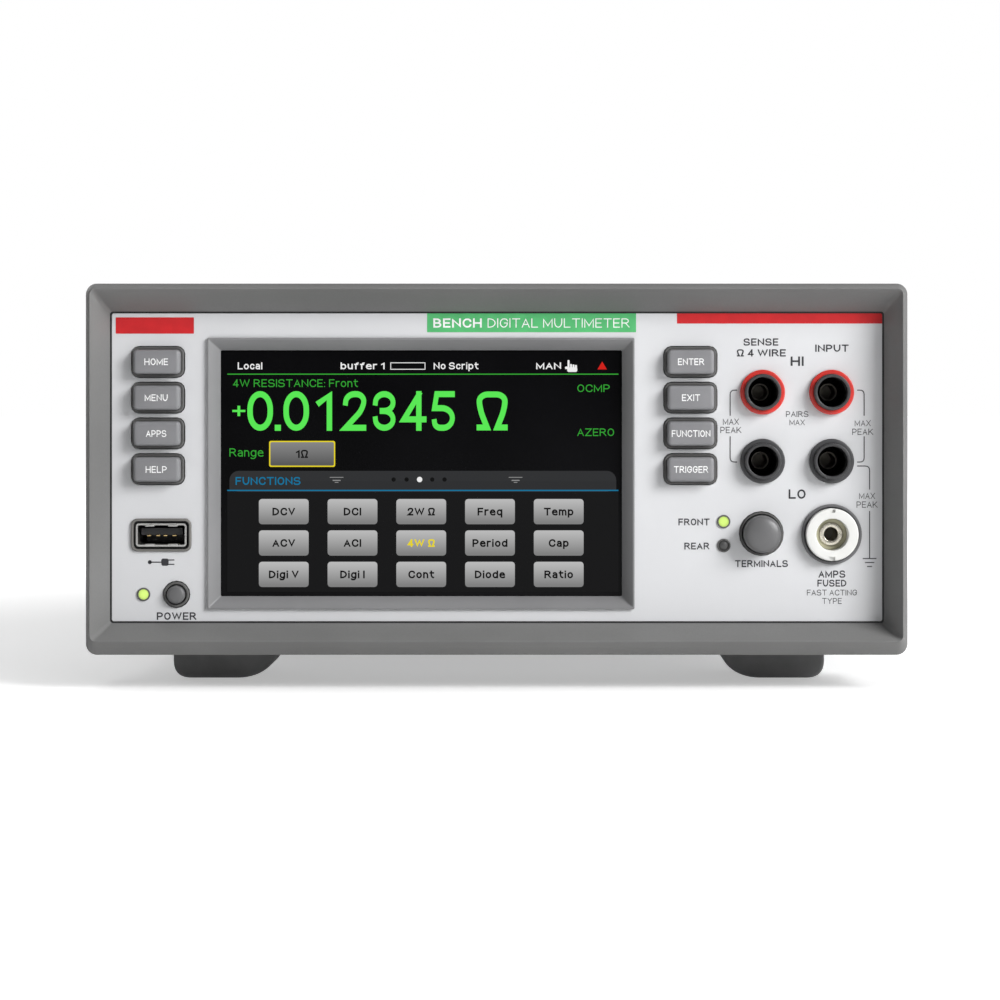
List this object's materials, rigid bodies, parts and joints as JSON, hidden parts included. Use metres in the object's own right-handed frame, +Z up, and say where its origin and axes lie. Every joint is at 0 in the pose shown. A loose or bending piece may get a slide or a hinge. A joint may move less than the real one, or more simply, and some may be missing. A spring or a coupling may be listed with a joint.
{
  "type": "bench multimeter",
  "caption": "Half-rack bench multimeter with a touch screen, keys, input jacks, and rubber bumpers around a steel body.",
  "frame": {"origin": "on the bench, under the middle of the object's box", "axes": "+Z up, the front panel faces -Y, +X to the right seen from the front"},
  "size_m": [0.2252, 0.375, 0.1115],
  "materials": {
    "bumper_rubber": "satin moulded rubber",
    "foot_rubber": "matt moulded rubber",
    "painted_steel": "fine textured paint",
    "panel_plastic": "satin moulded plastic with printed marks",
    "frame_plastic": "satin moulded plastic",
    "screen_glass": "polished, dark",
    "lcd_backing": "plain",
    "key_plastic": "satin, printed legends",
    "pad_rubber": "matt silicone rubber",
    "button_plastic": "satin",
    "red_plastic": "gloss",
    "lit_lens": "lit lens",
    "dark_lens": "unlit lens",
    "nickel_brass": "nickel plated",
    "white_plastic": "satin gloss",
    "fuse_ceramic": "plain",
    "black_plastic": "satin gloss",
    "plain_steel": "tinned sheet",
    "circuit_board": "solder mask",
    "supply_parts": "stands for a transformer and capacitors",
    "ribbon": "flat cable"
  },
  "bodies": {
    "instrument": {"front_bumper": "bumper_rubber", "rear_bumper": "bumper_rubber", "foot_front_left": "foot_rubber", "foot_front_right": "foot_rubber", "foot_rear_left": "foot_rubber", "foot_rear_right": "foot_rubber", "chassis_tray": "painted_steel", "top_cover": "painted_steel", "rear_panel": "painted_steel", "slot_cover": "painted_steel", "front_panel": "panel_plastic", "display_frame": "frame_plastic", "amps_holder": "frame_plastic", "display_glass": "screen_glass", "lcd_module": "lcd_backing", "keypad_left": "pad_rubber", "keypad_right": "pad_rubber", "power_collar": "pad_rubber", "terminals_collar": "pad_rubber", "jack_ring_sense_lo": "button_plastic", "jack_ring_input_lo": "button_plastic", "front_terminal_block": "button_plastic", "jack_ring_sense_hi": "red_plastic", "jack_ring_input_hi": "red_plastic", "power_led": "lit_lens", "front_led": "lit_lens", "rear_led": "dark_lens", "jack_contact_sense_hi": "nickel_brass", "jack_contact_input_hi": "nickel_brass", "jack_contact_sense_lo": "nickel_brass", "jack_contact_input_lo": "nickel_brass", "terminals_switch": "white_plastic", "usb_bezel": "black_plastic", "usb_host_tongue": "black_plastic", "rear_terminal_block": "black_plastic", "mains_inlet": "black_plastic", "usb_host_shell": "plain_steel", "measurement_shield": "plain_steel", "lan_port": "plain_steel", "usb_device_port": "plain_steel", "trigger_socket": "plain_steel", "front_circuit_board": "circuit_board", "main_board": "circuit_board", "power_supply": "supply_parts", "ribbon_cable": "ribbon"},
    "power_button": {"power_button": "button_plastic"},
    "terminals_button": {"terminals_button": "button_plastic"},
    "amps_carrier": {"amps_fuse_carrier": "white_plastic", "amps_contact": "nickel_brass", "amps_fuse": "fuse_ceramic"},
    "rear_amps_carrier": {"rear_amps_fuse_carrier": "white_plastic"},
    "fuse_drawer": {"fuse_drawer": "black_plastic"},
    "key_home": {"key_home": "key_plastic"},
    "key_menu": {"key_menu": "key_plastic"},
    "key_apps": {"key_apps": "key_plastic"},
    "key_help": {"key_help": "key_plastic"},
    "key_enter": {"key_enter": "key_plastic"},
    "key_exit": {"key_exit": "key_plastic"},
    "key_function": {"key_function": "key_plastic"},
    "key_trigger": {"key_trigger": "key_plastic"}
  },
  "joints": [
    {"name": "key_home_press", "type": "slide", "parent": "instrument", "child": "key_home", "axis": [0, 1, 0], "range_m": [0, 0.001], "stiffness_N_per_m": 400},
    {"name": "key_menu_press", "type": "slide", "parent": "instrument", "child": "key_menu", "axis": [0, 1, 0], "range_m": [0, 0.001], "stiffness_N_per_m": 400},
    {"name": "key_apps_press", "type": "slide", "parent": "instrument", "child": "key_apps", "axis": [0, 1, 0], "range_m": [0, 0.001], "stiffness_N_per_m": 400},
    {"name": "key_help_press", "type": "slide", "parent": "instrument", "child": "key_help", "axis": [0, 1, 0], "range_m": [0, 0.001], "stiffness_N_per_m": 400},
    {"name": "key_enter_press", "type": "slide", "parent": "instrument", "child": "key_enter", "axis": [0, 1, 0], "range_m": [0, 0.001], "stiffness_N_per_m": 400},
    {"name": "key_exit_press", "type": "slide", "parent": "instrument", "child": "key_exit", "axis": [0, 1, 0], "range_m": [0, 0.001], "stiffness_N_per_m": 400},
    {"name": "key_function_press", "type": "slide", "parent": "instrument", "child": "key_function", "axis": [0, 1, 0], "range_m": [0, 0.001], "stiffness_N_per_m": 400},
    {"name": "key_trigger_press", "type": "slide", "parent": "instrument", "child": "key_trigger", "axis": [0, 1, 0], "range_m": [0, 0.001], "stiffness_N_per_m": 400},
    {"name": "power_press", "type": "slide", "parent": "instrument", "child": "power_button", "axis": [0, 1, 0], "range_m": [0, 0.0016], "stiffness_N_per_m": 400},
    {"name": "terminals_press", "type": "slide", "parent": "instrument", "child": "terminals_button", "axis": [0, 1, 0], "range_m": [0, 0.0035], "stiffness_N_per_m": 400},
    {"name": "amps_carrier_turn", "type": "hinge", "parent": "instrument", "child": "amps_carrier", "pos_m": [0.09235, -0.1775, 0.0425], "axis": [0, -1, 0], "range_deg": [0, 90]},
    {"name": "rear_amps_carrier_turn", "type": "hinge", "parent": "instrument", "child": "rear_amps_carrier", "pos_m": [0.07848, 0.1705, 0.041], "axis": [0, 1, 0], "range_deg": [0, 90]},
    {"name": "fuse_drawer_slide", "type": "slide", "parent": "instrument", "child": "fuse_drawer", "axis": [0, 1, 0], "range_m": [0, 0.015]}
  ]
}
